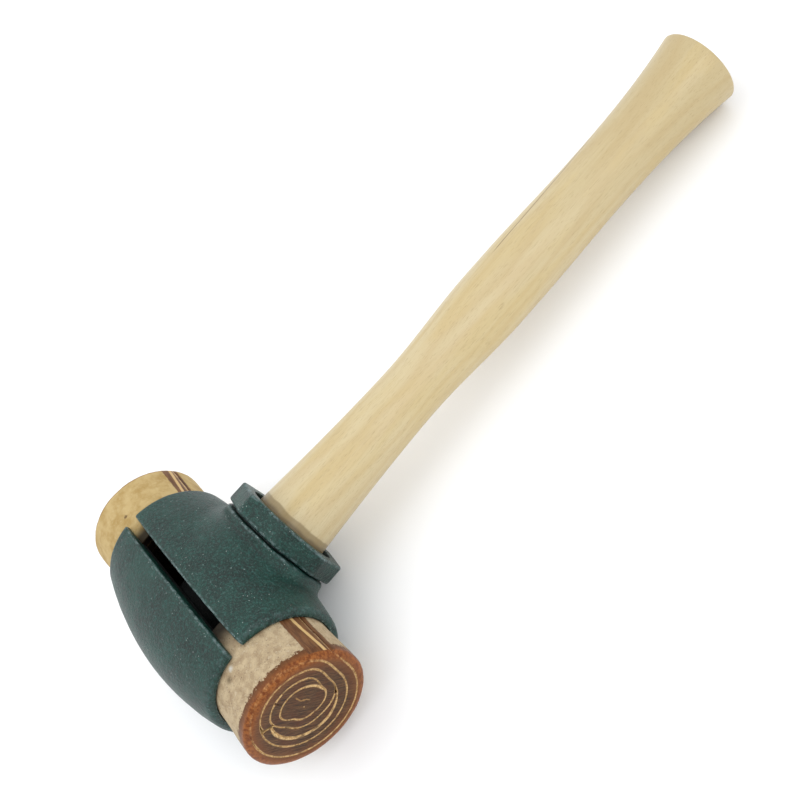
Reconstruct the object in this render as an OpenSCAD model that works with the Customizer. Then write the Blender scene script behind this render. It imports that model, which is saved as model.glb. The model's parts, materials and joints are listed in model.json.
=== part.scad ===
// Split-head rawhide mallet: two cast jaws, closed by a nut on a threaded stem, hold a rolled
// rawhide face at each end. A wooden handle is wedged in the stem.
// Tool frame: X along the head, Y up the handle, Z across, origin where their axes cross.
// Row frame: the same mallet lying on a table, resting on its belly and its butt.

/* [Rawhide faces] */
// Diameter of a striking face (a 2 inch mallet)
face_d = 50.8; // [49:0.2:52]
// Overall length of the head, face to face
head_l = 134; // [131:0.5:137]
// Length of the front roll
front_roll_l = 39; // [36:0.5:40]
// Length of the rear roll, which is cut shorter
rear_roll_l = 34; // [32:0.5:36]
// Thickness of the hide as wound
hide_t = 4.1; // [4:0.05:4.2]
// How far use has spread the end of a roll past its seated diameter, on the radius
spread = 0.7; // [0:0.1:1.2]

/* [Jaws] */
// Length of the jaws along the head
jaw_l = 89; // [86:0.5:92]
// Outside radius of a jaw at its ends
jaw_end_r = 28.9; // [28.4:0.1:30]
// How far the jaws swell across the head at mid-length
swell_z = 2.6; // [1:0.1:4]
// How far the outer jaw swells away from the handle
swell_outer = 7; // [5:0.5:8]
// How far the inner jaw swells towards the handle
swell_inner = 3.8; // [2:0.1:4.5]
// Gap between the clamped jaws
slot_w = 5.4; // [4:0.1:6.5]
// Radius of the hollow between the two rolls
hollow_r = 22; // [20.5:0.5:23]
// Clearance round a roll in its seat
seat_gap = 0.25; // [0.2:0.05:0.5]
// Radius of the boss that the nut bears on
boss_r = 25.4; // [24.5:0.1:26]

/* [Screw clamp] */
// Radius of the threaded stem
stem_r = 18; // [17:0.1:18.5]
// Radius of the eye, which runs down the stem
eye_r = 14; // [13:0.1:14.5]
// Height of the stem's top above the head axis
stem_top = 41; // [40:0.2:42]
// Radial running clearance of the jaw and the nut on the stem
run_gap = 0.08; // [0.05:0.01:0.1]
// Width of the nut across its flats
nut_af = 50; // [49:0.1:51]
// Height of the nut
nut_h = 9.2; // [8.5:0.1:10]
// Height of the nut's underside above the head axis
nut_y = 34.8; // [34.5:0.1:35.2]
// Turn of one of the nut's corners from the front face
nut_phase = 50; // [45:1:55]

/* [Handle] */
// Height of the butt's sharp corner above the head axis
butt_y = 301.5; // [280:0.5:320]
// Radius at the butt
butt_r = 18.7; // [17.5:0.1:19.5]
// Rise of the domed end
butt_dome = 4; // [2:0.5:6]
// Radius at the waist
waist_r = 13.1; // [12.5:0.1:14]
// Radius at the swell of the grip
swell_r = 15.3; // [14.5:0.1:16]
// Radius below the flare of the butt
grip_r = 14.4; // [13.8:0.1:15]
// Radius at the shoulder that sits on the stem
shoulder_r = 17; // [16.6:0.1:17.4]

/* [Hidden] */
$fn = 96;
eps = 0.01;

iron_green = "#2f4f49";
ash = "#e3cf9f";
hide_brown = "#6b452b";
hide_tan = "#c4a070";

// Outline of the handle above the shoulder: waist, swell and grip heights
waist_y = 118;
swell_from = 170;
swell_to = 181;
grip_y = 235;
profile_steps = 12;

// Jaws
eye_floor = 28;             // depth of the blind eye below the head axis
stem_root = 27;
end_play = 0.2;             // from a roll's inner end to its shoulder
fit_gap = 0.05;             // round the handle's tongue
barrel_steps = 14;
rib_l = 1;                  // length of each slice that the barrel is hulled from
oval_steps = 26;

// Inner jaw: the boss, the cove round its neck and the raised ring under the nut
cove_y = 27;
cove_r = 6;
neck_r = 23.4;
bearing_gap = 0.15;
ring_r = 21.5;
ring_h = 0.9;

// Nut
nut_corner_r = 26.6;
nut_mouth_r = 20.4;
nut_mouth_h = 3.2;

// Fox wedge: the eye's floor drives it up the kerf as the tongue goes in
tongue_play = 0.2;          // from the tongue's end to the floor
wedge_l = 22;
wedge_t = 3.4;
wedge_tip = 0.8;
kerf_gap = 0.06;

// Coil: every layer lies near a circle and steps out by one thickness where it laps
slit = 0.2;                 // between one layer and the next
whole_turns = 5;
trim = 1;                   // hide turned off the outside
coil_steps = 36;            // points in a turn
core_turns = 1.16;
inner_turns = 1.12;
filler_turns = [0.285, 0.755]; // parts of a turn between which the filler strip lies
jog = 0.15;                 // part of a turn over which a layer steps out
roundness = 0.93;           // share of the step taken there
press = 4.2;                // how far the filler strip pushes the layers inside it inwards
press_rise = [0.23, 0.39];
press_fall = [0.83, 0.59];
spread_l = 20;              // length of a roll that stands clear of the jaws
offset_y = 0.6;             // the core lies off the centre of the face
offset_z = 3.3;
calm_r = 27.4;              // radius at which that no longer shows
calm_power = 5;
oval = 0.055;
oval_turn = -84;
front_seam = 48;            // direction in which a whole number of turns is reached
rear_seam = 44;

// Lying at rest: the lean that puts both the belly and the butt on the table
face_r = face_d / 2;
belly_z = jaw_end_r + swell_z;
lean = asin((belly_z - butt_r) / butt_y);
rest_z = butt_y * sin(lean) + butt_r * cos(lean);
butt_end = (butt_y + butt_dome) * cos(lean);
head_end = norm([(jaw_end_r + swell_outer) * cos(lean), belly_z * sin(lean)]);
rest_y = (head_end - butt_end) / 2;

function ease(a, b, t) = a + (b - a) * (1 - cos(180 * t)) / 2;
function smooth(a, b, t) = let (u = min(max((t - a) / (b - a), 0), 1)) u * u * (3 - 2 * u);
function unit(n) = [for (i = [0:n]) i / n];

// ---- Handle -------------------------------------------------------------------------------
function neck_curve(y) = waist_r + (shoulder_r - waist_r) * pow((waist_y - y) / (waist_y - stem_top), 1.5);
function flare_curve(y) = grip_r + (butt_r - grip_r) * pow((y - grip_y) / (butt_y - grip_y), 2.4);

grip_outline = concat(
    [for (t = unit(profile_steps)) let (y = stem_top + fit_gap + t * (waist_y - stem_top - fit_gap))
        [neck_curve(y), y]],
    [for (t = unit(profile_steps)) if (t > 0)
        [ease(waist_r, swell_r, t), waist_y + t * (swell_from - waist_y)]],
    [for (t = unit(profile_steps))
        [ease(swell_r, grip_r, t), swell_to + t * (grip_y - swell_to)]],
    [for (t = unit(profile_steps)) if (t > 0) let (y = grip_y + t * (butt_y - grip_y))
        [flare_curve(y), y]],
    [for (t = unit(6)) if (t > 0)
        [butt_r * (1 - t), butt_y + butt_dome * (1 - pow(1 - t, 2))]]);

tongue_r = eye_r - fit_gap;
tongue_end = tongue_play - eye_floor;
tongue_top = stem_top + fit_gap;

// Turns a shape made about Z so that it stands along the handle
module along_handle() {
    rotate([-90, 0, 0]) children();
}

module kerf(gap) {
    translate([0, fit_gap - eye_floor, 0]) rotate([0, 0, 90]) rotate([90, 0, 0])
        linear_extrude(height = 4 * eye_r, center = true)
            polygon([[0, -wedge_t / 2 - gap], [wedge_l, -wedge_tip / 2 - gap],
                     [wedge_l, wedge_tip / 2 + gap], [0, wedge_t / 2 + gap]]);
}

module handle() {
    color(ash) difference() {
        along_handle() rotate_extrude() polygon(concat(
            [[0, tongue_end], [tongue_r, tongue_end], [tongue_r, tongue_top]], grip_outline));
        kerf(kerf_gap);
    }
}

module fox_wedge() {
    color("tan") intersection() {
        kerf(0);
        along_handle() translate([0, 0, -eye_floor]) cylinder(r = tongue_r, h = eye_floor);
    }
}

// ---- Jaws ---------------------------------------------------------------------------------
// One half of the barrel: side is -1 below the slot and 1 above it
module half_barrel(side, swell_y) {
    hull() for (t = unit(barrel_steps)) let (
        x = (t - 0.5) * (jaw_l - rib_l),
        bulge = 1 - pow(2 * t - 1, 2),
        semi_y = jaw_end_r + swell_y * bulge,
        semi_z = jaw_end_r + swell_z * bulge)
        translate([x, 0, 0]) rotate([90, 0, 90])
            linear_extrude(height = rib_l, center = true)
                polygon([for (u = unit(oval_steps)) [side * semi_y * sin(180 * u), semi_z * cos(180 * u)]]);
}

// The two seats, with the narrower hollow between them, as one turned cutter
module jaw_hollows() {
    seat_r = face_r + seat_gap;
    front_x = head_l / 2 - front_roll_l - end_play;
    rear_x = rear_roll_l + end_play - head_l / 2;
    open_x = jaw_l / 2 + 5;
    rotate([0, 90, 0]) rotate_extrude() polygon([
        [0, -open_x], [seat_r, -open_x], [seat_r, rear_x], [hollow_r, rear_x],
        [hollow_r, front_x], [seat_r, front_x], [seat_r, open_x], [0, open_x]]);
}

// Removes what lies past the slot's wall: side is as in half_barrel
module slot_cut(side) {
    deep = 2 * belly_z;
    translate([0, side * (slot_w - deep) / 2, 0]) cube([2 * jaw_l, deep, 2 * deep], center = true);
}

module outer_jaw() {
    color(iron_green) difference() {
        union() {
            difference() {
                half_barrel(-1, swell_outer);
                jaw_hollows();
                slot_cut(-1);
            }
            along_handle() translate([0, 0, -stem_root]) cylinder(r = stem_r, h = stem_root + stem_top);
        }
        along_handle() translate([0, 0, -eye_floor]) cylinder(r = eye_r, h = eye_floor + 2 * stem_top);
    }
}

module boss() {
    rim_y = nut_y - bearing_gap - ring_h;
    along_handle() {
        difference() {
            translate([0, 0, 5]) cylinder(r = boss_r, h = rim_y - 5);
            translate([0, 0, cove_y]) rotate_extrude() translate([neck_r + cove_r, 0]) circle(r = cove_r);
        }
        cylinder(r = ring_r, h = rim_y + ring_h);
    }
}

module inner_jaw() {
    color(iron_green) difference() {
        union() { half_barrel(1, swell_inner); boss(); }
        jaw_hollows();
        slot_cut(1);
        along_handle() cylinder(r = stem_r + run_gap, h = 2 * nut_y);
    }
}

module clamp_nut() {
    top = nut_y + nut_h;
    color(iron_green) difference() {
        intersection() {
            along_handle() rotate([0, 0, -nut_phase]) translate([0, 0, nut_y])
                cylinder(d = nut_af / cos(22.5), h = nut_h, $fn = 8);
            along_handle() cylinder(r = nut_corner_r, h = 2 * top);
        }
        along_handle() cylinder(r = stem_r + run_gap, h = 2 * nut_y);
        along_handle() translate([0, 0, top - nut_mouth_h]) cylinder(r = nut_mouth_r, h = nut_mouth_h + 1);
    }
}

// ---- Rawhide coils ------------------------------------------------------------------------
// Radius of the layer boundary after t turns
function layer_r(t) = let (whole = floor(t), part = t - whole,
    stepped = whole + (part < 1 - jog ? 0 : (1 - cos(180 * (part - 1 + jog) / jog)) / 2))
    hide_t * ((1 - roundness) * t + roundness * stepped - whole_turns) + face_r + trim;

// How far the filler strip pushes in the layers inside it
function pressed(t) = let (part = t - floor(t))
    press * smooth(press_rise[0], press_rise[1], part) * smooth(press_fall[0], press_fall[1], part);

function hide_point(r, a) = let (inward = 1 - pow(min(r, calm_r) / calm_r, calm_power),
    s = r * (1 + oval * inward * cos(2 * (a - oval_turn))))
    [s * cos(a) + offset_y * inward, s * sin(a) + offset_z * inward];

// The turns from a to b, by way of the same angles on every turn, so that neighbouring layers nest
function turns_between(a, b) = concat([a],
    [for (i = [floor(a * coil_steps) + 1:ceil(b * coil_steps) - 1]) i / coil_steps], [b]);

// A line along a strip from turn a to turn b, out from its inner boundary and pushed in by a share
// of the press
function edge(seam, a, b, out, push) =
    [for (t = turns_between(a, b)) hide_point(layer_r(t) + out - push * pressed(t), seam + 360 * t)];
function backwards(points) = [for (i = [len(points) - 1:-1:0]) points[i]];

// The roll before it is cut into strips
module roll_blank(side) {
    cylinder(r = face_r, h = roll_l(side));
    translate([0, 0, roll_l(side) - spread_l]) cylinder(r = face_r + spread, h = spread_l);
}

function roll_l(side) = side > 0 ? front_roll_l : rear_roll_l;

// Places a roll along X at the front, or at the rear when side is -1
module at_face(side) {
    mirror([side < 0 ? 1 : 0, 0, 0]) translate([head_l / 2 - roll_l(side), 0, 0]) rotate([90, 0, 90]) children();
}

butt_gap = 0.01;            // in turns, between one strip's end and the next strip's start
inner_end = core_turns + inner_turns;
layer_top = hide_t - slit;

// The core is folded shut in the middle, so its inner side starts one turn out
module core_coil(side, seam) {
    color(hide_brown) at_face(side) linear_extrude(height = roll_l(side))
        polygon(concat(edge(seam, 0, core_turns, layer_top, 1), backwards(edge(seam, 1, core_turns, 0, 1))));
}

module inner_wrap(side, seam) {
    from = core_turns + butt_gap;
    color(hide_tan) at_face(side) linear_extrude(height = roll_l(side))
        polygon(concat(edge(seam, from, inner_end, layer_top, 1), backwards(edge(seam, from, inner_end, 0, 1))));
}

module filler_strip(side, seam) {
    from = 2 + filler_turns[0];
    to = 2 + filler_turns[1];
    color(hide_tan) at_face(side) linear_extrude(height = roll_l(side))
        polygon(concat(edge(seam, from, to, -slit, 0), backwards(edge(seam, from, to, 0, 1))));
}

// Laid over the inner wrap and the filler strip, then turned round, which skives its end away
module outer_wrap(side, seam) {
    from = inner_end + butt_gap;
    color(hide_brown) at_face(side) intersection() {
        roll_blank(side);
        linear_extrude(height = roll_l(side)) polygon(concat(
            edge(seam, from, whole_turns, layer_top, 0), backwards(edge(seam, from, whole_turns, 0, 0))));
    }
}

// ---- Assembly -----------------------------------------------------------------------------
module lying() {
    translate([0, rest_y, rest_z]) rotate([-lean, 0, 0]) children();
}

lying() handle();
lying() outer_jaw();
lying() inner_jaw();
lying() clamp_nut();
lying() fox_wedge();
lying() core_coil(1, front_seam);  // front_core_coil
lying() inner_wrap(1, front_seam);  // front_inner_wrap
lying() filler_strip(1, front_seam);  // front_filler_strip
lying() outer_wrap(1, front_seam);  // front_outer_wrap
lying() core_coil(-1, rear_seam);  // rear_core_coil
lying() inner_wrap(-1, rear_seam);  // rear_inner_wrap
lying() filler_strip(-1, rear_seam);  // rear_filler_strip
lying() outer_wrap(-1, rear_seam);  // rear_outer_wrap
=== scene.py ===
"""Looks of the split-head rawhide mallet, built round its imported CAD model.

Shapes are made in the tool frame, in millimetres: X along the head to the front face, Y up the handle,
Z across, with the origin where the axes of head and handle cross. TO_ROW carries them to the row frame.
"""

import itertools
import json
import math

import bpy
import numpy as np
from mathutils import Matrix, Vector, noise


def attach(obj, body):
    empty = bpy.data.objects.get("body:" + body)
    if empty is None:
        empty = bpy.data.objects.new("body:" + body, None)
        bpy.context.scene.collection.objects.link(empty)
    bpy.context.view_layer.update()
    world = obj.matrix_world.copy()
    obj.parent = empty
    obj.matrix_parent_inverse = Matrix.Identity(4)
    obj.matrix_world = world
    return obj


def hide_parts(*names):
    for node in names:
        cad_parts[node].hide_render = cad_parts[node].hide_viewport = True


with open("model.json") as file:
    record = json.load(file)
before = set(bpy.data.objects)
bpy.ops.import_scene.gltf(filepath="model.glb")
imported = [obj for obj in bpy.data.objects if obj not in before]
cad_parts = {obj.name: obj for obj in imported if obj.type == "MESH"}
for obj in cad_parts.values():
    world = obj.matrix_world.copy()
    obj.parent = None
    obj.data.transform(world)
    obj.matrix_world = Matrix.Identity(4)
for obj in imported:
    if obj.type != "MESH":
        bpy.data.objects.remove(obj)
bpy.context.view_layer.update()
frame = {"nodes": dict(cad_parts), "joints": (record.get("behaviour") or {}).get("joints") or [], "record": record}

MM = 0.001

# ---- Where the tool frame lies, from the record ---------------------------------------------
joints = {joint["name"]: joint for joint in frame["joints"]}
mounts = {mount["name"]: mount for mount in frame["record"]["mounts"]}
handle_axis = Vector(joints["jaw_release"]["axis"])
front_centre = Vector(mounts["striking_face_front"]["pos_m"])
LEAN = math.atan2(-handle_axis.z, handle_axis.y)
HEAD_HALF = front_centre.x / MM
TURN_TO_ROW = Matrix.Rotation(-LEAN, 4, "X")
TO_ROW = Matrix.Translation((0, front_centre.y, front_centre.z)) @ TURN_TO_ROW @ Matrix.Scale(MM, 4)

# ---- Sizes, as in the CAD model --------------------------------------------------------------
FACE_R = 25.4
FRONT_L = 39
REAR_L = 34
SPREAD = 0.7                        # how far a roll's free end is mushroomed out

JAW_L = 89
JAW_END_R = 28.9
SWELL_Z = 2.6
SWELL_Y = {-1: 7, 1: 3.8}          # below and above the slot
SLOT_W = 5.4
SEAT_R = 25.65
HOLLOW_R = 22
END_PLAY = 0.2

STEM_R = 18
EYE_R = 14
STEM_TOP = 41
EYE_FLOOR = -28
STEM_ROOT = -27
BORE_R = 18.08
THREAD_PITCH = 2.5
THREAD_FROM = 14                    # height at which the thread starts

BOSS_R = 25.4
BOSS_TOP = 33.5
COVE_Y = 29
RING_R = 21.5
RING_TOP = 34.65
NUT_Y = 34.8
NUT_H = 9.2
NUT_FLAT = 25
NUT_PHASE = 50
NUT_MOUTH_R = 20.4
NUT_MOUTH_H = 3.2

TONGUE_R = 13.95
TONGUE_END = -27.8
BUTT_Y = 301.5
BUTT_R = 18.7
BUTT_DOME = 4


# ---- Mesh helpers ----------------------------------------------------------------------------
def add_piece(name, points, faces, attributes, material, body, node, sharp_deg=50):
    """Makes one piece from tool-frame points, in place of a CAD node."""
    mesh = bpy.data.meshes.new(name)
    mesh.from_pydata(points.tolist(), [], faces)
    mesh.transform(TO_ROW)
    for key, values in attributes.items():
        layer = mesh.attributes.new(key, "FLOAT", "POINT")
        layer.data.foreach_set("value", np.asarray(values, np.float32))
    mesh.shade_smooth()
    mesh.set_sharp_from_angle(angle=math.radians(sharp_deg))
    mesh.materials.append(material)
    piece = bpy.data.objects.new(name, mesh)
    bpy.context.scene.collection.objects.link(piece)
    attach(piece, body)
    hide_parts(node)
    return piece


def lumps(points, wavelength, seed=0):
    """Smooth noise between about -1 and 1 at each point, with the given wavelength in mm."""
    shift = Vector((seed * 37.1, seed * 11.3, seed * 5.7))
    return np.array([noise.noise(Vector(p) / wavelength + shift) for p in points.tolist()])


def smooth_step(low, high, value):
    t = np.clip((value - low) / (high - low), 0, 1)
    return t * t * (3 - 2 * t)


def surface_net(field, low, high, step):
    """Points and quads of the surface where field is 0; field is negative inside."""
    axes = [np.arange(a, b + step, step) for a, b in zip(low, high)]
    grid = np.stack(np.meshgrid(*axes, indexing="ij"), axis=-1).reshape(-1, 3)
    shape = tuple(len(axis) for axis in axes)
    value = field(grid).reshape(shape)
    inside = value < 0
    cells = tuple(n - 1 for n in shape)
    corners = [inside[i:cells[0] + i, j:cells[1] + j, k:cells[2] + k]
               for i, j, k in itertools.product((0, 1), repeat=3)]
    filled = np.sum(corners, axis=0)
    mixed = (filled > 0) & (filled < 8)
    cell = np.argwhere(mixed)
    index = np.full(cells, -1)
    index[mixed] = np.arange(len(cell))
    total = np.zeros((len(cell), 3))
    count = np.zeros(len(cell))
    faces = []
    for axis in range(3):
        along = np.eye(3, dtype=int)[axis]
        side_a = np.eye(3, dtype=int)[(axis + 1) % 3]
        side_b = np.eye(3, dtype=int)[(axis + 2) % 3]
        for a, b in itertools.product((0, 1), repeat=2):
            start = cell + a * side_a + b * side_b
            end = start + along
            v0 = value[tuple(start.T)]
            v1 = value[tuple(end.T)]
            crossed = (v0 < 0) != (v1 < 0)
            part = np.where(crossed, v0 / np.where(crossed, v0 - v1, 1), 0)
            total[crossed] += (start + part[:, None] * along)[crossed]
            count += crossed
        first = np.take(inside, np.arange(shape[axis] - 1), axis=axis)
        second = np.take(inside, np.arange(1, shape[axis]), axis=axis)
        edge = np.argwhere(first != second)
        entering = second[tuple(edge.T)]
        ring = [index[tuple((edge - a * side_a - b * side_b).T)]
                for a, b in ((0, 0), (1, 0), (1, 1), (0, 1))]
        quads = np.stack(ring, axis=1)
        faces.append(np.where(entering[:, None], quads[:, ::-1], quads))
    points = np.array([axis[0] for axis in axes]) + step * total / count[:, None]
    return points, np.concatenate(faces)


def gradient(field, points, reach=0.05):
    """Slope of the field at each point, by central differences."""
    steps = np.eye(3) * reach
    return np.stack([(field(points + s) - field(points - s)) / (2 * reach) for s in steps], axis=1)


def cast_piece(name, field, low, high, material, body, node, lump=0.1, step=0.6):
    """A casting: the meshed field, with a slightly lumpy skin, its edges marked for wear and its creases marked
    for painted shade.
    """
    points, faces = surface_net(field, low, high, step)
    for _ in range(3):
        slope = gradient(field, points)
        size = np.maximum((slope ** 2).sum(axis=1), 0.05)
        points = points - slope * np.clip(field(points) / size, -step / 2, step / 2)[:, None]
    reach = 0.7
    spread = sum(field(points + s) + field(points - s) for s in np.eye(3) * reach)
    bend = (spread - 6 * field(points)) / reach ** 2
    normal = gradient(field, points)
    normal /= np.linalg.norm(normal, axis=1)[:, None]
    across = np.hypot(points[:, 0], points[:, 2])
    from_head_axis = np.hypot(points[:, 1], points[:, 2])
    clear_of_stem = smooth_step(STEM_R + 1.5, STEM_R + 3, across)
    clear_of_seats = smooth_step(SEAT_R + 0.2, SEAT_R + 1.2, from_head_axis)
    height = lump * lumps(points, 7, 1) + 0.35 * lump * lumps(points, 2.2, 2)
    points = points + normal * (height * (clear_of_stem * clear_of_seats))[:, None]
    marks = {"ridge": np.clip(bend, 0, 2), "cranny": np.clip(-bend, 0, 2)}
    return add_piece(name, points, faces.tolist(), marks, material, body, node, sharp_deg=180)


def round_max(a, b, radius):
    """What lies in both a and b, with the edge between them rounded."""
    corner = np.hypot(np.maximum(a + radius, 0), np.maximum(b + radius, 0))
    return np.minimum(-radius, np.maximum(a, b)) + corner


def round_min(a, b, radius):
    """What lies in a or in b, with a fillet of that radius in the corner between them."""
    return -round_max(-a, -b, radius)


# ---- Castings --------------------------------------------------------------------------------
LIP_R = 2.3
SLOT_EDGE_R = 0.8
SMALL_EDGE_R = 0.5
NUT_CORNER_R = 4.5


def barrel(p, side):
    """One half of the swollen barrel of the head: side is -1 below the slot and 1 above it."""
    bulge = np.maximum(1 - (2 * p[:, 0] / JAW_L) ** 2, -0.3)
    semi_y = JAW_END_R + SWELL_Y[side] * bulge
    semi_z = JAW_END_R + SWELL_Z * bulge
    ratio = np.hypot(p[:, 1] / semi_y, p[:, 2] / semi_z) + 1e-6
    slope = np.hypot(p[:, 1] / semi_y ** 2, p[:, 2] / semi_z ** 2) / ratio
    return (ratio - 1) / np.maximum(slope, 0.02)


def hollows(p):
    """The seats of the two rolls and the narrower hollow between them."""
    radial = np.hypot(p[:, 1], p[:, 2])
    front = HEAD_HALF - FRONT_L - END_PLAY
    rear = REAR_L + END_PLAY - HEAD_HALF
    seats = np.minimum(np.maximum(radial - SEAT_R, front - p[:, 0]),
                       np.maximum(radial - SEAT_R, p[:, 0] - rear))
    return np.minimum(seats, radial - HOLLOW_R)


def thread_wave(p):
    """Goes from 0 to 1 and back once in each pitch of a right-handed thread about the handle's axis."""
    turn = np.arctan2(p[:, 0], p[:, 2]) / (2 * math.pi)
    phase = (p[:, 1] / THREAD_PITCH - turn) % 1
    return np.abs(2 * phase - 1)


def outer_jaw_field(p):
    """The lower half of the head, with the threaded stem and the blind eye for the handle."""
    x, y = p[:, 0], p[:, 1]
    across = np.hypot(x, p[:, 2])
    shell = round_max(barrel(p, -1), np.abs(x) - JAW_L / 2, LIP_R)
    body = round_max(shell, y + SLOT_W / 2, SLOT_EDGE_R)
    body = round_max(body, -hollows(p), SMALL_EDGE_R)
    cut = 0.9 * thread_wave(p) * smooth_step(THREAD_FROM, THREAD_FROM + 2, y)
    stem = round_max(across - STEM_R + cut, y - STEM_TOP, SMALL_EDGE_R)
    body = round_min(body, np.maximum(stem, STEM_ROOT - y), 1)
    return round_max(body, np.minimum(EYE_R - across, y - EYE_FLOOR), SMALL_EDGE_R)


def inner_jaw_field(p):
    """The upper half of the head, with the boss and the ring that the nut bears on."""
    x, y = p[:, 0], p[:, 1]
    across = np.hypot(x, p[:, 2])
    shell = round_max(barrel(p, 1), np.abs(x) - JAW_L / 2, LIP_R)
    cove = 1.0 * np.exp(-((y - COVE_Y) / 2.2) ** 2)
    boss = round_max(across - BOSS_R + cove, y - BOSS_TOP, 0.9)
    body = round_min(shell, np.maximum(boss, 8 - y), 6)
    ring = round_max(across - RING_R, y - RING_TOP, 0.3)
    body = np.minimum(body, np.maximum(ring, 8 - y))
    body = round_max(body, SLOT_W / 2 - y, SLOT_EDGE_R)
    body = round_max(body, -hollows(p), SMALL_EDGE_R)
    return round_max(body, BORE_R - across, 0.3)


def clamp_nut_field(p):
    """The octagonal nut with rounded corners, a wide mouth on top and a threaded bore."""
    angle = np.arctan2(p[:, 2], p[:, 0]) - math.radians(NUT_PHASE + 22.5)
    sector = (angle + math.pi / 8) % (math.pi / 4) - math.pi / 8
    across = np.hypot(p[:, 0], p[:, 2])
    half_flat = (NUT_FLAT - NUT_CORNER_R) * math.tan(math.pi / 8)
    out = across * np.cos(sector) - (NUT_FLAT - NUT_CORNER_R)
    beside = np.abs(across * np.sin(sector)) - half_flat
    sides = np.hypot(np.maximum(out, 0), np.maximum(beside, 0)) + np.minimum(out, 0) - NUT_CORNER_R
    middle = NUT_Y + NUT_H / 2
    body = round_max(sides, np.abs(p[:, 1] - middle) - NUT_H / 2, 1.1)
    mouth = np.maximum(across - NUT_MOUTH_R, NUT_Y + NUT_H - NUT_MOUTH_H - p[:, 1])
    body = round_max(body, -mouth, SMALL_EDGE_R)
    return round_max(body, BORE_R + 0.7 * thread_wave(p) - across, 0.3)


# ---- Handle ----------------------------------------------------------------------------------
NECK_R = 17
WAIST = (118, 13.1)
SWELL = (170, 181, 15.3)
GRIP = (235, 14.4)


def handle_radius(y):
    """Radius of the handle at each height above its shoulder."""
    ease = lambda t: (1 - np.cos(np.pi * np.clip(t, 0, 1))) / 2
    neck = WAIST[1] + (NECK_R - WAIST[1]) * np.clip((WAIST[0] - y) / (WAIST[0] - STEM_TOP), 0, 1) ** 1.5
    rise = WAIST[1] + (SWELL[2] - WAIST[1]) * ease((y - WAIST[0]) / (SWELL[0] - WAIST[0]))
    fall = SWELL[2] + (GRIP[1] - SWELL[2]) * ease((y - SWELL[1]) / (GRIP[0] - SWELL[1]))
    flare = GRIP[1] + (BUTT_R - GRIP[1]) * np.clip((y - GRIP[0]) / (BUTT_Y - GRIP[0]), 0, 1) ** 2.4
    return np.select([y < WAIST[0], y < SWELL[1], y < GRIP[0]], [neck, rise, fall], flare)


def handle_outline():
    """(radius, height) from the middle of the tongue's end to the middle of the butt."""
    shoulder = STEM_TOP + 0.1
    edge = 0.7
    tongue = [(0, TONGUE_END)] + [(r, TONGUE_END) for r in np.linspace(2, TONGUE_R, 6)]
    tongue += [(TONGUE_R, y) for y in np.linspace(TONGUE_END, shoulder, 30)[1:]]
    heights = np.linspace(shoulder + 0.5, BUTT_Y - edge, 260)
    body = [(handle_radius(shoulder) - 0.5, shoulder)]
    body += list(zip(handle_radius(heights), heights))
    rim_r = BUTT_R - 0.15
    rim = [(rim_r - edge + edge * math.cos(a), BUTT_Y - edge + edge * math.sin(a))
           for a in np.linspace(0.25, 0.45 * math.pi, 6)]
    start = rim[-1]
    dome = [(start[0] * (1 - t), start[1] + BUTT_DOME * (1 - (1 - t) ** 2))
            for t in np.linspace(0, 1, 24)[1:]]
    return np.array(tongue + body + rim + dome, float)


def turned(outline, sides):
    """Points and faces of an outline turned about the handle's axis; its two ends lie on the axis."""
    angle = np.arange(sides) * 2 * math.pi / sides
    inner = outline[1:-1]
    rings = np.stack([inner[:, :1] * np.sin(angle), np.repeat(inner[:, 1:], sides, axis=1),
                      inner[:, :1] * np.cos(angle)], axis=-1).reshape(-1, 3)
    points = np.concatenate([rings, [[0, outline[0, 1], 0], [0, outline[-1, 1], 0]]])
    step = np.arange(sides)
    after = (step + 1) % sides
    faces = []
    for row in range(len(inner) - 1):
        a, b = row * sides, (row + 1) * sides
        faces += np.stack([a + step, a + after, b + after, b + step], axis=1).tolist()
    last = (len(inner) - 1) * sides
    faces += np.stack([after, step, np.full(sides, len(points) - 2)], axis=1).tolist()
    faces += np.stack([last + step, last + after, np.full(sides, len(points) - 1)], axis=1).tolist()
    return points, faces


def cut_kerf(piece, wedge):
    """Cuts the wedge's kerf in the tongue, with the CAD wedge itself as the cutter."""
    cut = piece.modifiers.new("kerf", "BOOLEAN")
    cut.operation = "DIFFERENCE"
    cut.solver = "EXACT"
    cut.object = wedge
    bpy.context.view_layer.update()
    evaluated = piece.evaluated_get(bpy.context.evaluated_depsgraph_get())
    cut_mesh = bpy.data.meshes.new_from_object(evaluated)
    piece.modifiers.clear()
    piece.data = cut_mesh


# ---- Rawhide coils ---------------------------------------------------------------------------
HIDE_T = 4.1
TRIM = 1                            # how far outside the round the coil ends, before turning
WHOLE_TURNS = 5
CORE_TURNS = 1.16
INNER_END = 2.28
FILLER_TURNS = (2.285, 2.755)
JOG = 0.15                          # part of a turn over which a layer steps out
ROUNDNESS = 0.93                    # share of a layer's climb that is in its step
PRESS = 4.2                         # how far the filler pushes in the layers inside it
PRESS_RISE = (0.23, 0.39)
PRESS_FALL = (0.83, 0.59)
OFFSET_Y = 0.6
OFFSET_Z = 3.3
CALM_R = 27.4                       # radius at which the coil is round and centred
OVAL = 0.055
OVAL_TURN = math.radians(-84)
OVER_FILLER_RISE = (2.26, 2.34)     # turns over which the pale line above the filler widens
OVER_FILLER_FALL = (2.75, 2.6)
FOLDED_TURNS = (0.84, 1)            # turns over which a pale line closes the core's first layer
RIM_FROM = 22.3                     # radius at which the end starts to round over
RIM_DROP = 2.2
LAYER_GAP = 0.03                    # slit between neighbouring layers
TURN_STEPS = 180
BUTT_GAP = 0.004                    # gap between two strips that butt, in turns
INNER_END_ROUND = 0.5
FILLER_START_ROUND = 0.45
OUTER_START_ROUND = 0.4
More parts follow.
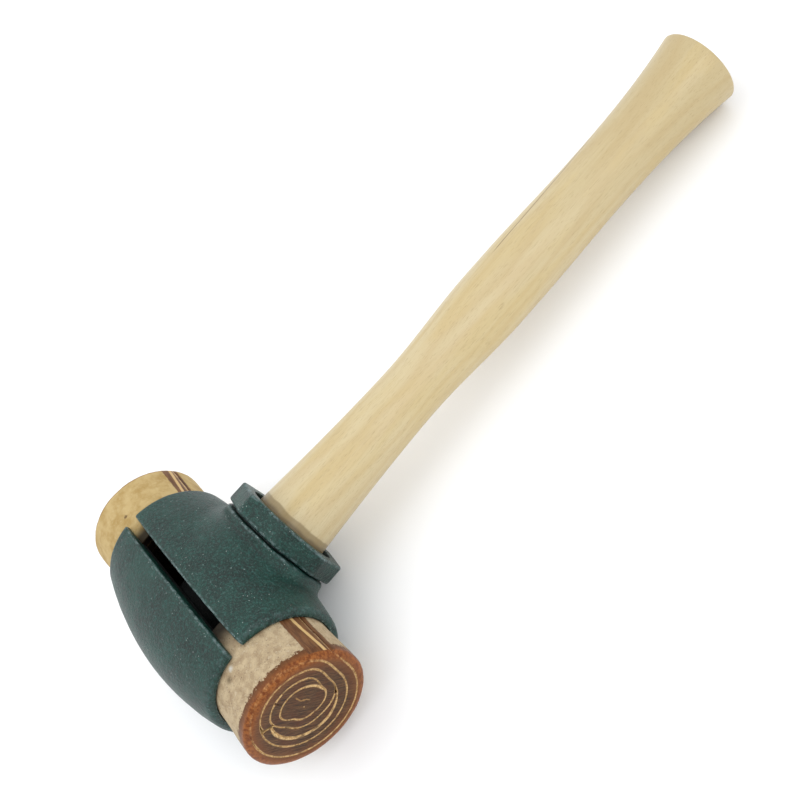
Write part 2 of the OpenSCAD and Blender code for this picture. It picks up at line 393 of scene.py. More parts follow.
THINNEST_LAYER = 0.15               # the last turn is left out where it would be thinner
ON_ROUND = 0.02                     # a point this near the roll's round counts as on it
FAR = 50.0                          # a distance in mm at which no mark shows
COIL_START_DEG = {1: 48, -1: 44}    # where the coil starts, on the front and the rear roll
SEAM_DEG = {1: 33, -1: 29}          # where the outermost layer ends at the rim


def layer_radius(turns):
    """Radius of the inner side of the layer that is reached after so many turns."""
    whole = np.floor(turns)
    climb = np.clip((turns - whole - 1 + JOG) / JOG, 0, 1)
    stepped = whole + (1 - np.cos(np.pi * climb)) / 2
    return HIDE_T * ((1 - ROUNDNESS) * turns + ROUNDNESS * stepped - WHOLE_TURNS) + FACE_R + TRIM


def pressed(turns):
    """How far the filler strip pushes in the layers inside it."""
    part = turns % 1
    return PRESS * smooth_step(*PRESS_RISE, part) * smooth_step(*PRESS_FALL, part)


def hide_point(radius, angle):
    """(y, z) of a point of a coil that lies off the face's centre in its middle."""
    inward = 1 - (np.minimum(radius, CALM_R) / CALM_R) ** 5
    scaled = radius * (1 + OVAL * inward * np.cos(2 * (angle - OVAL_TURN)))
    return np.array([scaled * np.cos(angle) + OFFSET_Y * inward, scaled * np.sin(angle) + OFFSET_Z * inward])


def turned_down(point):
    """Brings a point that lies outside the roll's round to its surface."""
    return point * np.minimum(FACE_R / np.maximum(np.hypot(*point), 1e-6), 1)


def rounded_ends(turns, inner_r, outer_r, round_start, round_end):
    """Inner radius and thickness of a strip with rounded ends, and the way to the nearest of these."""
    thick = np.maximum(outer_r - inner_r - LAYER_GAP, 0.05)
    arc = 2 * math.pi * np.cumsum(np.gradient(turns) * (inner_r + outer_r) / 2)
    squeeze = np.ones(len(turns))
    to_end = np.full(len(turns), FAR)
    for radius, gap in ((round_start, arc - arc[0]), (round_end, arc[-1] - arc)):
        if radius:
            to_end = np.minimum(to_end, gap)
            squeeze *= np.sqrt(np.clip(1 - (1 - np.minimum(gap / radius, 1)) ** 2, 0.0004, 1))
    return inner_r + thick * (1 - squeeze) / 2, thick * squeeze, to_end


def strip_section(start_x):
    """Points round a strip's section: share of the thickness, x, and 1 for those on the outer end."""
    mouth_x = JAW_L / 2
    lengthwise = np.concatenate([np.linspace(start_x, mouth_x - 1, 8), np.linspace(mouth_x, HEAD_HALF, 30)])
    shares = 0.5 - 0.5 * np.cos(np.linspace(0, math.pi, 21))
    loop = [(0, x, 0) for x in lengthwise[:-1]] + [(s, HEAD_HALF, 1) for s in shares]
    loop += [(1, x, 0) for x in lengthwise[-2::-1]] + [(s, start_x, 0) for s in shares[-2:0:-4]]
    return np.array(loop, float).T


def worn_down(x, y, z, share, wide):
    """The free end spreads, its rim is rounded, and every layer's edge is a little rounded."""
    radius = np.hypot(y, z)
    spread = SPREAD * smooth_step(JAW_L / 2 + 1, HEAD_HALF - 3, x) * (radius / FACE_R) ** 3
    over = np.clip((radius + spread - RIM_FROM) / (FACE_R + SPREAD - RIM_FROM), 0, 1)
    rim_drop = RIM_DROP * (1 - np.sqrt(1 - over ** 2))
    edge_drop = 0.3 * np.maximum(1 - np.minimum(share, 1 - share) * wide / 0.4, 0) ** 2
    x = np.minimum(x, HEAD_HALF - np.maximum(rim_drop, edge_drop * (over < 0.6)))
    grow = (radius + spread) / np.maximum(radius, 1)
    return np.stack([x, y * grow, z * grow], axis=1)


def roughened(points, side, to_rim, at_end):
    """Roughens a roll's end and its side clear of the jaws, most of all near the rim."""
    x = points[:, 0]
    rough = 0.10 * lumps(points, 5, 3 + side) + 0.05 * lumps(points, 1.6, 5 + side)
    near_rim = smooth_step(5, 0, HEAD_HALF - x + np.maximum(to_rim, 0))
    rough += near_rim * 0.10 * lumps(points, 0.9, 9)
    clear = smooth_step(JAW_L / 2 + 0.5, JAW_L / 2 + 2, x)
    bump = np.where(to_rim < 0.6, rough * clear, 0)
    out = points.copy()
    out[:, 1:] *= (1 + bump / FACE_R)[:, None]
    out[:, 0] += np.where(at_end > 0, 0.5 * rough, 0)
    return out


def strip_faces(rows, count):
    """Quads between neighbouring sections of so many points, and a face over each end of the strip."""
    step = np.arange(count)
    after = (step + 1) % count
    faces = []
    for row in range(rows - 1):
        a, b = row * count, (row + 1) * count
        faces += np.stack([a + step, b + step, b + after, a + after], axis=1).tolist()
    return faces + [step.tolist(), (step[::-1] + (rows - 1) * count).tolist()]


def hide_strip(name, side, turns, inner_r, outer_r, material, round_start=0, round_end=0):
    """One strip of a roll along turns, between two radii given for each of them."""
    inner_r, thick, to_end = rounded_ends(turns, inner_r, outer_r, round_start, round_end)
    share, x, at_end = strip_section(HEAD_HALF - (FRONT_L if side > 0 else REAR_L))
    count = len(share)
    turn = np.repeat(turns, count)
    share, x, at_end = (np.tile(values, len(turns)) for values in (share, x, at_end))
    angle = math.radians(COIL_START_DEG[side]) + 2 * math.pi * turns
    coil_r = np.repeat(inner_r, count) + share * np.repeat(thick, count)
    near = turned_down(hide_point(inner_r, angle))
    far = turned_down(hide_point(inner_r + thick, angle))
    turned_side = np.hypot(*far) > FACE_R - ON_ROUND
    wide = np.repeat(np.hypot(*(far - near)), count)
    near, far = np.repeat(near, count, axis=1), np.repeat(far, count, axis=1)
    y, z = near + share * (far - near)
    to_rim = FACE_R - np.hypot(y, z)
    worn = worn_down(x, y, z, share, wide)
    depth = HEAD_HALF - worn[:, 0]
    points = roughened(worn, side, to_rim, at_end)

    # the skins are pale, except where the outermost one was turned off; the last section shows none
    over_filler = smooth_step(*OVER_FILLER_RISE, turn) * smooth_step(*OVER_FILLER_FALL, turn)
    thicker = 0.8 * over_filler if name == "outer_wrap" else 0
    outer_skin = np.where(np.repeat(turned_side, count), FAR, (1 - share) * wide)
    skins = np.minimum(share * wide - thicker, outer_skin)
    skins = np.minimum(skins, np.repeat(to_end, count))
    skins[-count:] += FAR
    outside = (share > 0.999) & (to_rim < ON_ROUND)
    folded = (name == "core_coil") & (turn > FOLDED_TURNS[0]) & (turn < FOLDED_TURNS[1])
    seam_gap = (np.degrees(np.arctan2(points[:, 2], points[:, 1])) - SEAM_DEG[side] + 180) % 360 - 180
    marks = {
        "outside": outside,
        "pale_depth": np.where(outside, 0, skins),
        "from_rim": np.maximum(to_rim, 0) + np.maximum(depth, 0),
        "from_seam": np.where(turn > WHOLE_TURNS - 1.5, seam_gap, 180),
        "depth": depth,
        "fold": np.where(folded, coil_r - layer_radius(0) - HIDE_T, FAR),
    }
    faces = strip_faces(len(turns), count)
    if side < 0:
        points[:, 0] *= -1
        faces = [face[::-1] for face in faces]
    end = "front" if side > 0 else "rear"
    return add_piece(f"{end}_{name}_hide", points, faces, marks, material, f"{end}_face",
                     f"{end}_{name}", sharp_deg=35)


def spans(start, stop, *breaks):
    """Turns from start to stop, with two samples close together at each break."""
    count = max(int((stop - start) * TURN_STEPS), 2)
    turns = list(np.linspace(start, stop, count))
    for at in breaks:
        turns += [at - 1e-4, at + 1e-4]
    return np.array(sorted(turns))


def add_roll(side, material):
    """The four strips of a roll, from the core outwards: side is 1 at the front and -1 at the rear."""
    core = spans(0, CORE_TURNS, 1)
    low = layer_radius(core) - pressed(core)
    hide_strip("core_coil", side, core, np.where(core < 1, 0, low), low + HIDE_T, material)
    wrap = spans(CORE_TURNS + BUTT_GAP, INNER_END)
    low = layer_radius(wrap) - pressed(wrap)
    hide_strip("inner_wrap", side, wrap, low, low + HIDE_T, material, round_end=INNER_END_ROUND)
    filler = spans(*FILLER_TURNS)
    top = layer_radius(filler)
    hide_strip("filler_strip", side, filler, top - pressed(filler), top, material,
               round_start=FILLER_START_ROUND)
    outer = spans(INNER_END + BUTT_GAP, WHOLE_TURNS)
    angle = math.radians(COIL_START_DEG[side]) + 2 * math.pi * outer
    inner_side = np.hypot(*hide_point(layer_radius(outer), angle))
    outer = outer[(outer < WHOLE_TURNS - 1) | (inner_side < FACE_R - THINNEST_LAYER)]
    low = layer_radius(outer)
    hide_strip("outer_wrap", side, outer, low, low + HIDE_T, material, round_start=OUTER_START_ROUND)


# ---- Materials -------------------------------------------------------------------------------
def srgb(red, green, blue):
    """A colour given as 0-255 display values, as linear light."""
    def linear(v):
        v = v / 255
        return v / 12.92 if v <= 0.04045 else ((v + 0.055) / 1.055) ** 2.4

    return (linear(red), linear(green), linear(blue), 1)


class Surface:
    """A node material, with short calls for the nodes it is made of. Inputs are numbers or sockets."""

    def __init__(self, name, roughness=0.5, **fixed):
        self.material = bpy.data.materials.new(name)
        self.material.use_nodes = True
        self.tree = self.material.node_tree
        self.tree.nodes.clear()
        output = self.tree.nodes.new("ShaderNodeOutputMaterial")
        self.shader = self.tree.nodes.new("ShaderNodeBsdfPrincipled")
        self.tree.links.new(self.shader.outputs[0], output.inputs[0])
        self.shader.inputs["Roughness"].default_value = roughness
        for socket, value in fixed.items():
            self.shader.inputs[socket.replace("_", " ")].default_value = value
        # object coordinates turned back into the tool frame, in millimetres
        place = self.node("ShaderNodeVectorMath", operation="SUBTRACT")
        self.link(place.inputs[0], self.node("ShaderNodeTexCoord").outputs["Object"])
        place.inputs[1].default_value = (0, front_centre.y, front_centre.z)
        mapping = self.node("ShaderNodeMapping")
        mapping.inputs["Rotation"].default_value = (LEAN, 0, 0)
        mapping.inputs["Scale"].default_value = (1 / MM,) * 3
        self.link(mapping.inputs["Vector"], place.outputs[0])
        self.mm = mapping.outputs[0]

    def node(self, kind, **settings):
        made = self.tree.nodes.new(kind)
        for key, value in settings.items():
            setattr(made, key, value)
        return made

    def link(self, socket, value):
        """Feeds an input of a node with a socket, or sets it to a number or a colour."""
        if isinstance(value, bpy.types.NodeSocket):
            self.tree.links.new(value, socket)
        else:
            socket.default_value = value

    def set(self, socket, value):
        self.link(self.shader.inputs[socket], value)

    def math(self, operation, a, b=0.0):
        made = self.node("ShaderNodeMath", operation=operation)
        self.link(made.inputs[0], a)
        self.link(made.inputs[1], b)
        return made.outputs[0]

    def times(self, a, b):
        return self.math("MULTIPLY", a, b)

    def absolute(self, value):
        return self.math("ABSOLUTE", value)

    def axes(self):
        made = self.node("ShaderNodeSeparateXYZ")
        self.link(made.inputs[0], self.mm)
        return made.outputs

    def attribute(self, name):
        return self.node("ShaderNodeAttribute", attribute_name=name).outputs["Fac"]

    def stretch(self, x, y, z, turn=(0, 0, 0)):
        """Tool coordinates turned, then scaled: a scale of 1 has its period in millimetres."""
        made = self.node("ShaderNodeMapping")
        made.inputs["Rotation"].default_value = turn
        made.inputs["Scale"].default_value = (x, y, z)
        self.link(made.inputs["Vector"], self.mm)
        return made.outputs[0]

    def noise(self, vector=None, scale=1.0, detail=2.0, rough=0.5, warp=0.0):
        made = self.node("ShaderNodeTexNoise")
        self.link(made.inputs["Vector"], self.mm if vector is None else vector)
        made.inputs["Scale"].default_value = scale
        made.inputs["Detail"].default_value = detail
        made.inputs["Roughness"].default_value = rough
        made.inputs["Distortion"].default_value = warp
        return made.outputs["Fac"]

    def combine(self, x, y, z):
        made = self.node("ShaderNodeCombineXYZ")
        for socket, value in zip(made.inputs, (x, y, z)):
            self.link(socket, value)
        return made.outputs[0]

    def total(self, *terms):
        """Sum of (factor, socket) terms."""
        out = 0.0
        for factor, value in terms:
            made = self.node("ShaderNodeMath", operation="MULTIPLY_ADD")
            self.link(made.inputs[0], value)
            made.inputs[1].default_value = factor
            self.link(made.inputs[2], out)
            out = made.outputs[0]
        return out

    def distance(self, vector, place):
        made = self.node("ShaderNodeVectorMath", operation="DISTANCE")
        self.link(made.inputs[0], vector)
        made.inputs[1].default_value = place
        return made.outputs["Value"]

    def specks(self, scale, share, size, vector=None):
        """1 inside scattered round specks, 0 elsewhere: share is how many cells have one."""
        made = self.node("ShaderNodeTexVoronoi")
        self.link(made.inputs["Vector"], self.mm if vector is None else vector)
        made.inputs["Scale"].default_value = scale
        split = self.node("ShaderNodeSeparateColor")
        self.link(split.inputs[0], made.outputs["Color"])
        chosen = self.math("LESS_THAN", split.outputs[0], share)
        close = self.step(size, 0.6 * size, made.outputs["Distance"])
        return self.times(chosen, close)

    def step(self, low, high, value):
        """Smooth step of value from 0 at low to 1 at high; low may be the larger."""
        made = self.node("ShaderNodeMapRange", interpolation_type="SMOOTHSTEP")
        self.link(made.inputs["Value"], value)
        if low <= high:
            limits = (low, high, 0, 1)
        else:
            limits = (high, low, 1, 0)
        for socket, limit in zip(("From Min", "From Max", "To Min", "To Max"), limits):
            made.inputs[socket].default_value = limit
        return made.outputs["Result"]

    def mix(self, a, b, share):
        made = self.node("ShaderNodeMix", data_type="RGBA", clamp_factor=True)
        self.link(made.inputs[0], share)
        self.link(made.inputs[6], a)
        self.link(made.inputs[7], b)
        return made.outputs[2]

    def tint(self, colour, display, share, strength):
        """The colour mixed with one given as display values, by a share times a strength."""
        return self.mix(colour, srgb(*display), self.times(share, strength))

    def bump(self, height, distance_mm, strength=1.0, after=None):
        made = self.node("ShaderNodeBump")
        made.inputs["Strength"].default_value = strength
        made.inputs["Distance"].default_value = distance_mm * MM
        self.link(made.inputs["Height"], height)
        if after is not None:
            self.link(made.inputs["Normal"], after)
        return made.outputs[0]


def green_paint():
    """Dark green paint over a cast skin: mottled, worn at the edges and chipped, with painted highlights and shade
    on its fine grit, painted shade in its creases and near-black painted shade inside.
    """
    s = Surface("green_painted_iron", Specular_IOR_Level=0.36)
    x, y, z = s.axes()
    ridge = s.attribute("ridge")
    patches = s.noise(scale=0.09, detail=3)
    mottle = s.noise(scale=0.9, detail=4, rough=0.65)
    grit = s.noise(scale=1.5, detail=4, rough=0.7)
    colour = s.mix(srgb(5, 34, 28), srgb(10, 55, 46), s.step(0.3, 0.7, patches))
    colour = s.tint(colour, (32, 80, 72), s.step(0.48, 0.62, mottle), 0.6)
    # painted shade in the pits of the fine grit and painted highlights on its tops; the grit is also the height of
    # the fine bumps
    colour = s.tint(colour, (4, 12, 10), s.step(0.5, 0.34, grit), 0.75)
    colour = s.tint(colour, (96, 116, 114), s.step(0.56, 0.68, grit), 0.45)
    # painted shade in the creases of the casting
    colour = s.tint(colour, (6, 12, 11), s.step(0.1, 0.9, s.attribute("cranny")), 0.75)
    scuffs = s.noise(scale=0.5, detail=5, rough=0.7)
    worn = s.times(s.step(0.2, 0.9, ridge), s.step(0.42, 0.62, scuffs))
    colour = s.tint(colour, (104, 122, 122), worn, 0.7)
    chipped_areas = s.noise(scale=0.11, detail=1)
    chips = s.times(s.specks(0.9, 0.16, 0.2), s.step(0.38, 0.62, chipped_areas))
    edge_chips = s.times(s.specks(1.1, 0.2, 0.26), s.step(0.3, 0.8, ridge))
    colour = s.tint(colour, (176, 186, 182), s.math("MAXIMUM", chips, edge_chips), 0.75)
    # painted shade: near black inside the jaws and in the nut's mouth, where the paint is also rougher
    from_head_axis = s.distance(s.combine(0.0, y, z), (0, 0, 0))
    from_stem_axis = s.distance(s.combine(x, 0.0, z), (0, 0, 0))
    in_seats = s.step(SEAT_R + 0.45, SEAT_R - 0.05, from_head_axis)
    in_mouth = s.times(s.step(NUT_MOUTH_R + 0.2, NUT_MOUTH_R - 0.2, from_stem_axis), s.step(20, 21, y))
    inside = s.math("MAXIMUM", in_seats, in_mouth)
    colour = s.tint(colour, (7, 8, 8), inside, 0.97)
    s.set("Base Color", colour)
    s.set("Roughness", s.total((0.28, mottle), (0.12, grit), (0.4, inside), (1.0, 0.22)))
    coarse = s.bump(s.noise(scale=0.6, detail=3, rough=0.6), 0.48, 0.9)
    s.set("Normal", s.bump(grit, 0.3, 1.0, after=coarse))
    return s.material


CRACK_SLOPE = 0.08
CRACK_X = 15.3                      # offset of the crack's line, which the grain's drift shifts too
CRACK_Y = (180, 250)


def ash_wood():
    """Lacquered ash: long fine grain, darker brown bands just above the nut, a drying crack and a darker butt."""
    s = Surface("lacquered_ash", Coat_Weight=0.12, Coat_Roughness=0.25)
    x, y, z = s.axes()
    drift = s.noise(s.stretch(0.05, 0.008, 0.05), detail=2)
    rings = s.total((0.088, x), (0.134, z), (5.0, drift))
    band = s.math("PINGPONG", rings, 0.5)
    fibre = s.noise(s.stretch(1.3, 0.02, 1.3), detail=4, rough=0.6)
    streak = s.noise(s.stretch(0.28, 0.008, 0.28), detail=3, rough=0.6)
    pore = s.noise(s.stretch(4.4, 0.22, 4.4), detail=2)
    golden = s.noise(s.stretch(0.09, 0.02, 0.09), detail=3)
    colour = s.mix(srgb(196, 179, 139), srgb(191, 171, 129), s.step(0.1, 0.5, band))
    colour = s.tint(colour, (160, 138, 88), s.step(130, 320, y), 0.38)
    colour = s.tint(colour, (190, 166, 108), s.step(0.45, 0.65, golden), 0.4)
    colour = s.tint(colour, (200, 185, 148), s.step(0.45, 0.75, streak), 0.3)
    colour = s.tint(colour, (180, 159, 116), s.step(0.5, 0.7, fibre), 0.4)
    colour = s.tint(colour, (146, 120, 76), s.step(0.58, 0.7, pore), 0.42)
    # two darker brown bands just above the nut
    above_nut = s.total((1.0, y), (2.2, s.noise(scale=0.14, detail=1)), (-1.0, NUT_Y + NUT_H))
    colour = s.tint(colour, (128, 106, 62), s.step(5.0, 4.2, above_nut), 0.72)
    colour = s.tint(colour, (84, 66, 34), s.step(3.2, 1.4, above_nut), 0.66)
    crack_line = s.total((1.0, x), (CRACK_SLOPE, y), (6.0, drift), (1.0, -CRACK_X))
    crack_run = s.times(s.step(CRACK_Y[0], CRACK_Y[0] + 6, y), s.step(CRACK_Y[1], CRACK_Y[1] - 10, y))
    crack = s.times(s.step(0.35, 0.12, s.absolute(crack_line)), crack_run)
    colour = s.mix(colour, srgb(112, 88, 58), s.times(crack, s.step(4, 6, z)))
    end_grain = s.step(BUTT_Y - 0.4, BUTT_Y + 0.1, y)
    end_pores = s.noise(s.stretch(2.2, 0.3, 2.2), detail=3, rough=0.7)
    end_colour = s.mix(srgb(156, 137, 96), srgb(140, 119, 78), s.step(0.35, 0.7, end_pores))
    colour = s.mix(colour, end_colour, end_grain)
    s.set("Base Color", colour)
    s.set("Roughness", s.total((0.16, fibre), (0.22, end_grain), (1.0, 0.32)))
    s.set("Normal", s.bump(s.total((1.0, fibre), (0.5, pore)), 0.025, 0.5))
    return s.material


# direction of the saw marks on the rolls' ends, and the core's fold along and across it
SAW_Y = 0.54
SAW_Z = 0.842
FOLD = (-4.4, 4.7)
# marks on the rolls' sides: place, radius and colour
SPOTS = {1: (((46.4, -6.3, 25.2), 1.9, (200, 199, 192)), ((48.6, -9.7, 24.1), 2.4, (104, 90, 68))),
         -1: (((-51, -1.3, 25.4), 1.2, (92, 70, 44)),)}
# where the brown band along the roll starts and stops, in degrees from the seam
BAND = {1: (-12, 14.5), -1: (-9, 7.5)}
RIM_WEAR = {1: 5.2, -1: 0.8}        # how far down from the rim the skin is worn off
JAW_SHADE_FADE = {1: 14, -1: 9}        # how deep in the jaws the painted shade on a roll is full


class Rawhide(Surface):
    """Cut rawhide: brown inside, with a pale skin on both sides of the strip."""

    def __init__(self, name, side):
        super().__init__(name, Specular_IOR_Level=0.16)
        self.side = side
        _, y, z = self.axes()
        self.outside = self.attribute("outside")
        self.from_rim = self.attribute("from_rim")
        self.depth = self.attribute("depth")
        self.wobble = self.noise(scale=0.7, detail=4, rough=0.6)
        self.centred = self.math("SUBTRACT", self.wobble, 0.5)
        self.fine = self.noise(scale=2.4, detail=3, rough=0.6)
        self.blotch = self.noise(scale=0.16, detail=3)
        self.along = self.total((SAW_Y, y), (-SAW_Z, z))
        self.across = self.total((SAW_Z, y), (SAW_Y, z))
        drawn_out = self.combine(0.0, self.times(self.along, 0.13), self.times(self.across, 2.1))
        self.saw = self.noise(drawn_out, detail=4, rough=0.7)
        self.near_rim = self.total((1.0, self.from_rim), (3.0, self.centred))

    def amber_rim(self):
        """The glossy amber of the worn rim, duller on the rear roll."""
        amber = self.mix(srgb(104, 52, 20), srgb(160, 96, 44), self.step(0.35, 0.7, self.wobble))
        amber = self.tint(amber, (206, 156, 100), self.step(0.6, 0.7, self.fine), 0.35)
        if self.side < 0:
            amber = self.mix(amber, srgb(158, 132, 88), 0.7)
        return amber

    def cut_face(self, amber):
        """Brown with fine saw marks, redder and lighter towards the rim."""
        cut = self.mix(srgb(46, 29, 17), srgb(102, 71, 43), self.step(0.34, 0.7, self.saw))
        cut = self.tint(cut, (80, 40, 19), self.step(0.4, 0.7, self.blotch), 0.5)
        nicked_areas = self.noise(scale=0.3, detail=1)
        nicks = self.times(self.step(0.66, 0.74, self.saw), self.step(0.5, 0.62, nicked_areas))
        cut = self.tint(cut, (176, 132, 84), nicks, 0.6)
        cut = self.tint(cut, (118, 70, 34), self.step(9, 2, self.near_rim), 0.6)
        return self.mix(cut, amber, self.step(4.6, 0.8, self.near_rim))

    def with_skin_lines(self, cut, amber):
        """The pale skins of the strips, seen edge-on as lines on the cut face."""
        skin_t = self.total((0.5, self.blotch), (0.3, self.centred), (1.0, 0.06))
        line = self.step(0.22, -0.18, self.math("SUBTRACT", self.attribute("pale_depth"), skin_t))
        folded = self.step(0.75, 0.35, self.absolute(self.attribute("fold")))
        line = self.math("MAXIMUM", line, folded)
        line = self.times(line, self.step(0.2, 0.5, self.noise(scale=0.35, detail=2)))
        fibres = self.noise(scale=1.3, detail=3)
        pale = self.mix(srgb(164, 126, 78), srgb(206, 174, 122), self.step(0.35, 0.65, fibres))
        pale = self.mix(pale, amber, self.step(4.0, 1.0, self.near_rim))
        return self.mix(cut, pale, self.times(line, self.math("SUBTRACT", 1.0, self.outside)))

    def with_core_fold(self, colour):
        """The short wavy line where the core is folded shut."""
        wave = self.math("SINE", self.times(self.along, 0.9))
        fold = self.total((1.0, self.across), (0.3, self.along), (-FOLD[1], 1.0), (0.4, wave),
                          (1.2, self.centred))
        run = self.step(4.0, 3.0, self.absolute(self.math("SUBTRACT", self.along, FOLD[0])))
        line = self.times(self.step(0.5, 0.15, self.absolute(fold)), run)
        return self.tint(colour, (150, 112, 66), line, 0.8)

    def skin(self):
        """The outermost skin: greyish and mottled on the front roll, golden on the rear one."""
        if self.side > 0:
            stain = self.noise(scale=0.35, detail=5, rough=0.7)
            skin = self.mix(srgb(185, 166, 134), srgb(146, 124, 96), self.step(0.35, 0.7, stain))
            skin = self.tint(skin, (203, 188, 160), self.step(0.52, 0.7, self.wobble), 0.6)
            skin = self.tint(skin, (104, 88, 70), self.step(0.56, 0.68, self.fine), 0.5)
            skin = self.tint(skin, (92, 76, 62), self.specks(0.9, 0.3, 0.3), 0.6)
        else:
            stain = self.noise(scale=0.16, detail=4, rough=0.6)
            skin = self.mix(srgb(187, 163, 114), srgb(165, 137, 84), self.step(0.35, 0.7, stain))
            skin = self.tint(skin, (200, 181, 138), self.step(0.5, 0.75, self.wobble), 0.4)
            skin = self.tint(skin, (128, 100, 64), self.step(0.62, 0.72, self.fine), 0.3)
        for place, radius, display in SPOTS[self.side]:
            from_spot = self.total((1.0, self.distance(self.mm, place)), (2.4, self.centred))
            skin = self.tint(skin, display, self.step(radius, 0.1 * radius, from_spot), 0.85)
        return skin

    def turned_side(self, cut):
        """Colour of the roll's side, and where its skin is kept: it is worn off near the rim and along
        the outermost layer's end, which is a brown band with a pale line in it."""
        worn_edge = self.total((5.0, self.centred), (2.6, self.math("SUBTRACT", self.fine, 0.5)),
                               (1.0, RIM_WEAR[self.side]))
        kept = self.step(-0.3, 0.3, self.math("SUBTRACT", self.from_rim, worn_edge))
        from_seam = self.attribute("from_seam")
        ragged = self.total((1.0, from_seam), (1.6, self.centred))
        low, high = BAND[self.side]
        band = self.times(self.step(low - 0.5, low + 0.5, ragged), self.step(high + 0.5, high - 0.5, ragged))
        kept = self.times(kept, self.math("SUBTRACT", 1.0, self.times(band, 0.95)))
        streaks = self.noise(self.stretch(0.15, 1.5, 1.5), detail=3)
        brown = self.mix(srgb(84, 50, 28), srgb(112, 72, 42), self.step(0.35, 0.65, streaks))
        colour = self.mix(self.mix(cut, brown, band), self.skin(), kept)
        seam_line = self.total((1.0, from_seam), (-0.2, self.depth), (0.9, self.centred), (1.0, 1.6))
        return self.mix(colour, srgb(196, 164, 112), self.step(1.9, 1.2, self.absolute(seam_line))), kept


def rawhide(name, side):
    """The whole rawhide material of the roll on one side of the head."""
    s = Rawhide(name, side)
    amber = s.amber_rim()
    cut = s.cut_face(amber)
    colour = s.with_core_fold(s.with_skin_lines(cut, amber))
    side_colour, kept = s.turned_side(cut)
    colour = s.mix(colour, side_colour, s.outside)
    # painted shade: the rolls darken to near black deeper inside the jaws
    mouth_depth = HEAD_HALF - JAW_L / 2
    shade_in_jaws = s.step(mouth_depth + 2, mouth_depth + JAW_SHADE_FADE[side], s.depth)
    s.set("Base Color", s.tint(colour, (14, 11, 9), shade_in_jaws, 0.94))
    s.set("Roughness", s.total((0.3, s.times(s.outside, kept)), (0.15, s.wobble), (1.0, 0.32)))
    marks = s.bump(s.saw, 0.08, 0.5)
    s.set("Normal", s.bump(s.total((1.0, s.wobble), (0.35, s.fine)), 0.16, 0.6, after=marks))
    return s.material


def wedge_wood():
    """Raw hardwood of the fox wedge."""
    s = Surface("wedge_hardwood", roughness=0.6)
    grain = s.noise(s.stretch(1.6, 0.05, 0.5), detail=4, rough=0.6)
    s.set("Base Color", s.mix(srgb(150, 104, 62), srgb(196, 150, 98), s.step(0.3, 0.7, grain)))
    s.set("Normal", s.bump(grain, 0.1, 0.6))
    return s.material


# ---- The mallet ------------------------------------------------------------------------------
# boxes that hold the castings, with room to spare
HEAD_REACH_X = JAW_L / 2 + 1
HEAD_REACH_Z = JAW_END_R + SWELL_Z + 1
HEAD_BOTTOM = -37
NUT_REACH = 28

paint = green_paint()
cast_piece("outer_jaw_casting", outer_jaw_field, (-HEAD_REACH_X, HEAD_BOTTOM, -HEAD_REACH_Z),
           (HEAD_REACH_X, STEM_TOP + 1, HEAD_REACH_Z), paint, "fixed_head", "outer_jaw")
cast_piece("inner_jaw_casting", inner_jaw_field, (-HEAD_REACH_X, 0, -HEAD_REACH_Z),
           (HEAD_REACH_X, RING_TOP + 1, HEAD_REACH_Z), paint, "sliding_jaw", "inner_jaw")
cast_piece("clamp_nut_casting", clamp_nut_field, (-NUT_REACH, NUT_Y - 1, -NUT_REACH),
           (NUT_REACH, NUT_Y + NUT_H + 1, NUT_REACH), paint, "nut", "clamp_nut", lump=0.07, step=0.5)

points, faces = turned(handle_outline(), sides=128)
handle = add_piece("turned_handle", points, faces, {}, ash_wood(), "fixed_head", "handle",
                   sharp_deg=40)
wedge = frame["nodes"]["fox_wedge"]
cut_kerf(handle, wedge)
wedge.data.materials.clear()
wedge.data.materials.append(wedge_wood())

add_roll(1, rawhide("front_rawhide", 1))
add_roll(-1, rawhide("rear_rawhide", -1))


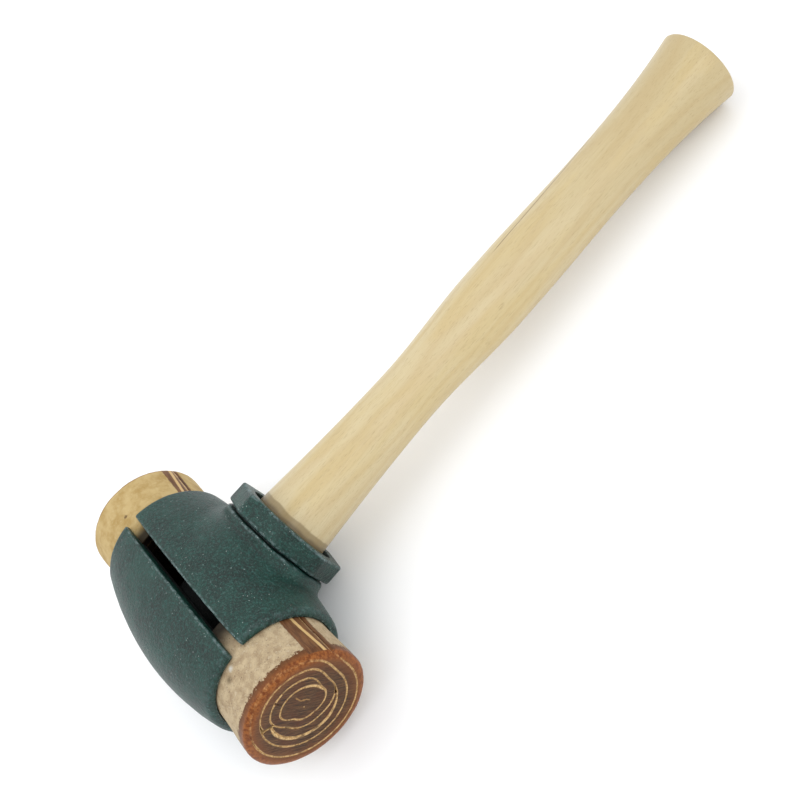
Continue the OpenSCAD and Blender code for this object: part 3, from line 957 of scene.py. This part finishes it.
# ---- Stage -----------------------------------------------------------------------------------
def add_floor():
    """A pale floor under the mallet, 6 m across."""
    half = 3.0
    mesh = bpy.data.meshes.new("floor")
    corners = [(-half, -half, 0), (half, -half, 0), (half, half, 0), (-half, half, 0)]
    mesh.from_pydata(corners, [], [(0, 1, 2, 3)])
    floor = bpy.data.objects.new("floor", mesh)
    bpy.context.scene.collection.objects.link(floor)
    pale = Surface("pale_floor", roughness=0.9)
    tone = pale.noise(scale=0.01, detail=2)
    pale.set("Base Color", pale.mix(srgb(250, 250, 250), srgb(247, 247, 248), tone))
    mesh.materials.append(pale.material)


def add_light(name, place, size, power):
    """A soft area light at a row-frame place, turned to the head."""
    data = bpy.data.lights.new(name, "AREA")
    data.shape = "DISK"
    data.size = size
    data.energy = power
    light = bpy.data.objects.new(name, data)
    light.location = place
    light.rotation_euler = (Vector((0, 0, 0.03)) - Vector(place)).to_track_quat("-Z", "Y").to_euler()
    bpy.context.scene.collection.objects.link(light)


def add_world():
    world = bpy.data.worlds.new("soft_studio")
    world.use_nodes = True
    background = world.node_tree.nodes["Background"]
    background.inputs["Color"].default_value = (0.97, 0.985, 1, 1)
    background.inputs["Strength"].default_value = 1.15
    bpy.context.scene.world = world


def add_camera():
    """A camera above the head, looking across it, rolled so that the handle runs to the upper right."""
    azimuth, elevation, roll = (math.radians(v) for v in (84.83, 47.61, -44.65))
    target = Vector((-1.39, 111.52, 0))
    distance = 484.53
    back = Vector((math.sin(azimuth) * math.cos(elevation), -math.cos(azimuth) * math.cos(elevation),
                   math.sin(elevation)))
    level = Vector((0, 0, 1)).cross(back).normalized()
    rise = back.cross(level)
    right = level * math.cos(roll) + rise * math.sin(roll)
    up = rise * math.cos(roll) - level * math.sin(roll)
    data = bpy.data.cameras.new("camera")
    data.lens = 52.63
    data.sensor_width = 36
    camera = bpy.data.objects.new("camera", data)
    turn = Matrix((right, up, back)).transposed().to_4x4()
    camera.matrix_world = Matrix.Translation(TO_ROW @ (target + back * distance)) @ TURN_TO_ROW @ turn
    bpy.context.scene.collection.objects.link(camera)
    bpy.context.scene.camera = camera


bpy.context.scene.view_settings.view_transform = "Standard"
add_floor()
add_world()
add_light("key", (-0.5, -0.5, 1.3), size=1.6, power=4.5)
add_light("fill", (0.9, 0.3, 0.9), size=0.8, power=2.5)
add_camera()
